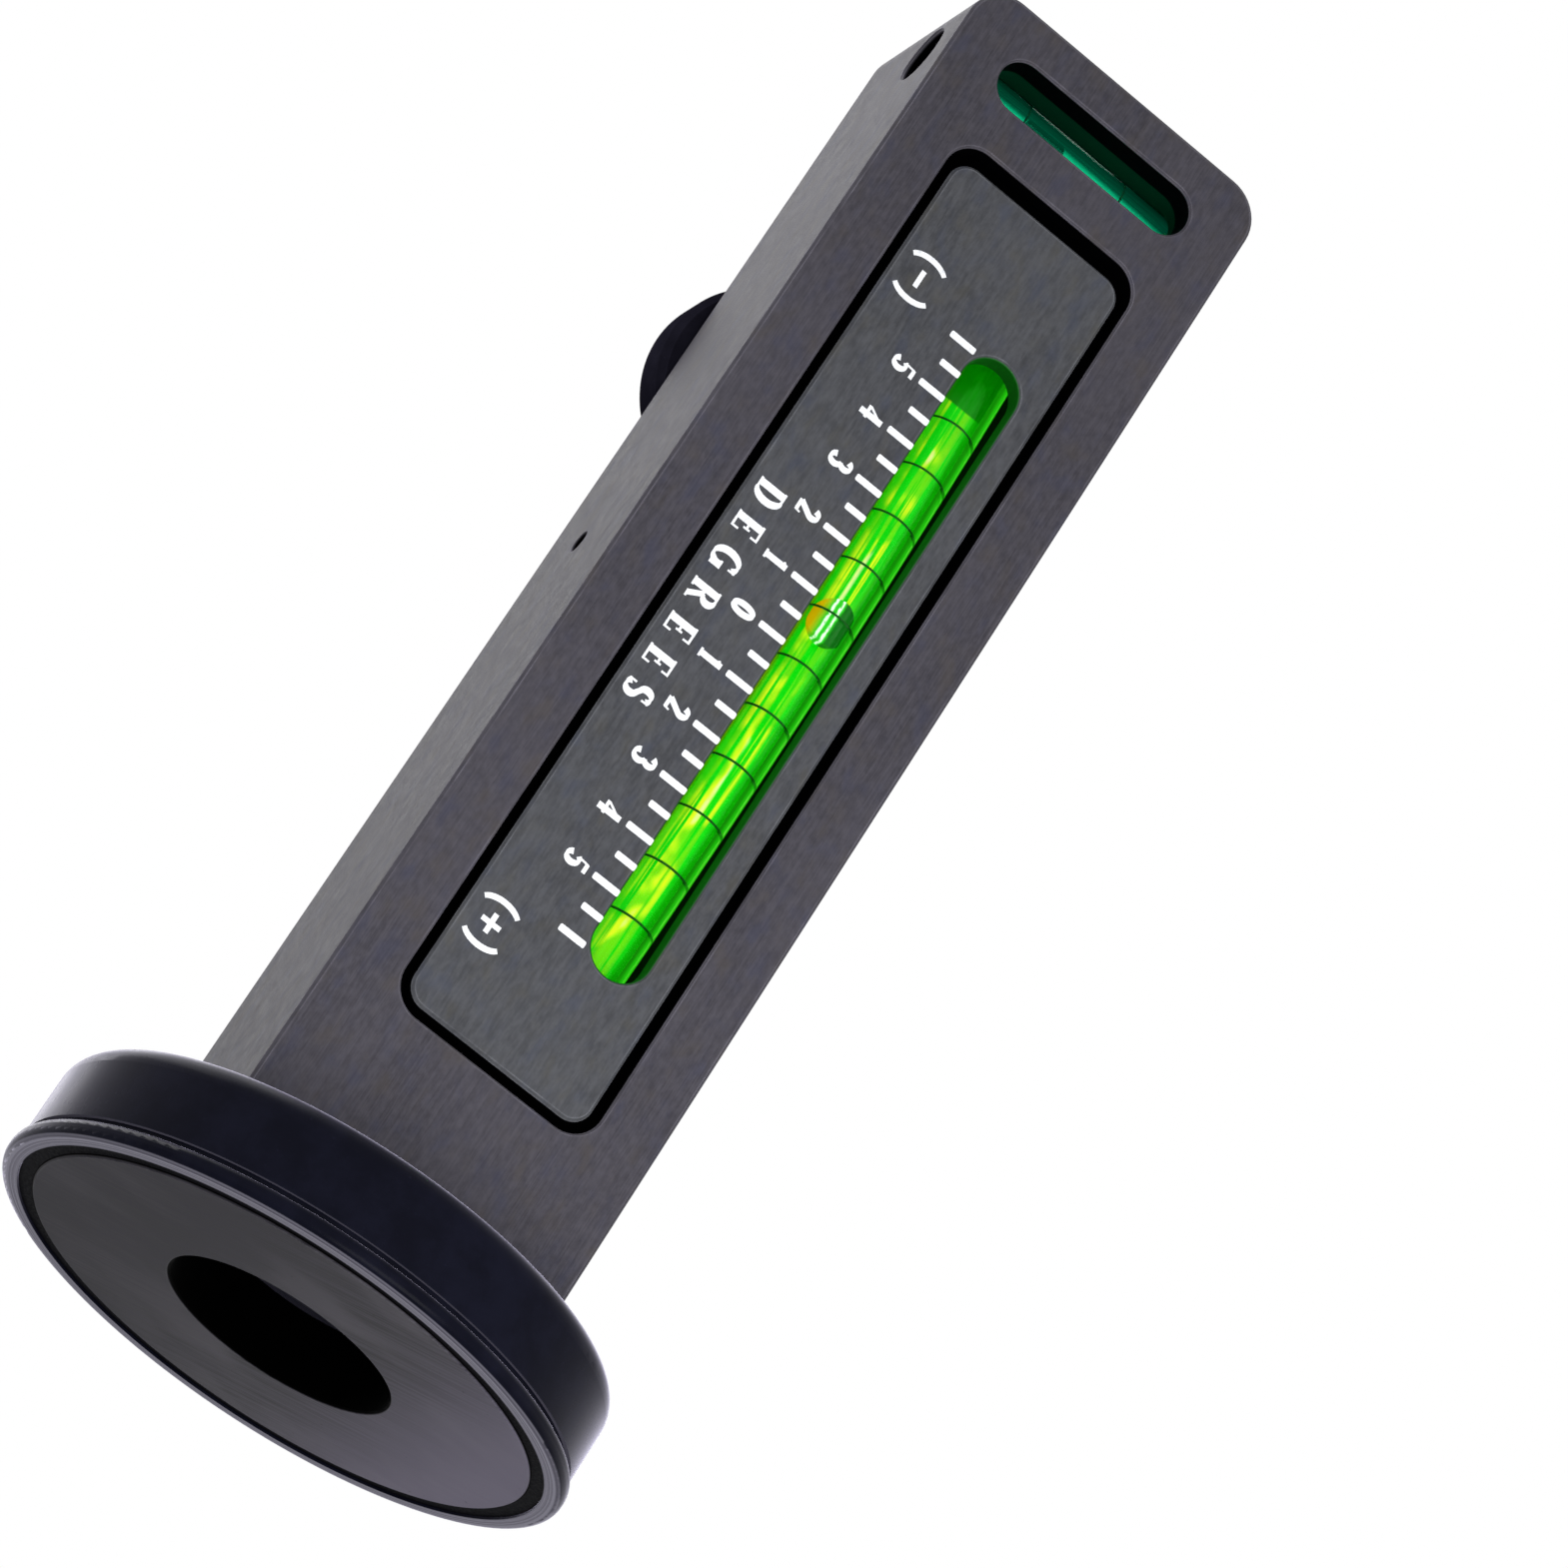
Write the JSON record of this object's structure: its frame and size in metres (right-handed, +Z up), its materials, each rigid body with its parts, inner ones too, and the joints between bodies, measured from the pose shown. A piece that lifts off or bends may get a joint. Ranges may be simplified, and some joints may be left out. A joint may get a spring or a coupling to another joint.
{
  "type": "camber gauge",
  "caption": "Magnetic wheel camber gauge: a machined bar on a ring magnet foot, with a curved camber vial, a rocking caster vial with thumb screw zero, and a cross level.",
  "frame": {"origin": "centre of the ring magnet's face, which is the gauge's lowest plane", "axes": "+Z up the bar, away from the magnet; -Y out of the camber dial; +Y out of the caster dial; +X to the right when the camber dial is faced"},
  "size_m": [0.071, 0.071, 0.178],
  "materials": {
    "bar_anodised": "machined along its length and anodised charcoal grey, satin",
    "dial_anodised": "anodised charcoal grey, matt, with white print",
    "fastener_steel": "blackened steel",
    "spring_steel": "bright spring wire",
    "vial_tube": "clear moulded acrylic, polished",
    "vial_plug": "bonded acrylic plug",
    "green_fluid": "bright green vial fluid",
    "teal_fluid": "teal green vial fluid",
    "bubble": "air bubble",
    "setting_compound": "pale cast setting compound",
    "black_plastic": "black filled resin, matt",
    "knob_black": "turned and anodised black, satin",
    "cap_black": "black, satin",
    "cup_black": "black plated steel, satin",
    "magnet": "ground ferrite, dark grey"
  },
  "bodies": {
    "gauge": {"body_block": "bar_anodised", "camber_plate": "dial_anodised", "camber_plate_screws": "fastener_steel", "camber_vial_tube": "vial_tube", "camber_vial_plugs": "vial_plug", "camber_vial_fluid": "green_fluid", "camber_vial_bed": "setting_compound", "level_vial_tube": "vial_tube", "level_vial_plugs": "vial_plug", "level_vial_fluid": "teal_fluid", "level_bore_plug": "black_plastic", "cradle_pin": "fastener_steel", "cradle_spring": "spring_steel", "base_cap": "cap_black", "magnet_cup": "cup_black", "ring_magnet": "magnet", "magnet_gap_ring": "black_plastic", "base_screws": "fastener_steel"},
    "cradle": {"caster_cradle": "dial_anodised", "caster_vial_tube": "vial_tube", "caster_vial_plugs": "vial_plug", "caster_vial_fluid": "green_fluid", "caster_vial_bed": "setting_compound"},
    "washer": {"thumb_washer": "fastener_steel"},
    "knob": {"thumbscrew_knob": "knob_black", "thumbscrew_stem": "fastener_steel"},
    "camber_bubble": {"camber_bubble": "bubble"},
    "level_bubble": {"level_bubble": "bubble"},
    "caster_bubble": {"caster_bubble": "bubble"}
  },
  "joints": [
    {"name": "washer_slide", "type": "slide", "parent": "gauge", "child": "washer", "axis": [0, 1, 0], "range_m": [-0.00087, 0.00087]},
    {"name": "knob_turn", "type": "hinge", "parent": "washer", "child": "knob", "pos_m": [-0.0098, 0.0182, 0.1316], "axis": [0, 1, 0], "range_deg": [-450, 450]},
    {"name": "cradle_tilt", "type": "hinge", "parent": "gauge", "child": "cradle", "pos_m": [0, 0.00189, 0.0963], "axis": [-1, 0, 0], "range_deg": [-1.43, 1.43], "deforming": ["cradle_spring"]},
    {"name": "camber_reading", "type": "hinge", "parent": "gauge", "child": "camber_bubble", "pos_m": [0.00535, 0.40283, 0.0955], "axis": [-1, 0, 0], "range_deg": [-6.9, 5.1]},
    {"name": "level_reading", "type": "hinge", "parent": "gauge", "child": "level_bubble", "pos_m": [0, 0.19346, 0.1692], "axis": [0, 0, 1], "range_deg": [-2.1, 4.5]},
    {"name": "caster_reading", "type": "hinge", "parent": "cradle", "child": "caster_bubble", "pos_m": [0.0078, -0.40284, 0.0963], "axis": [1, 0, 0], "range_deg": [-5, 5]}
  ],
  "couplings": [
    {"joint": "knob_turn", "follows": "washer_slide", "rad_per_m": 8976},
    {"joint": "cradle_tilt", "follows": "washer_slide", "rad_per_m": 28.329}
  ]
}
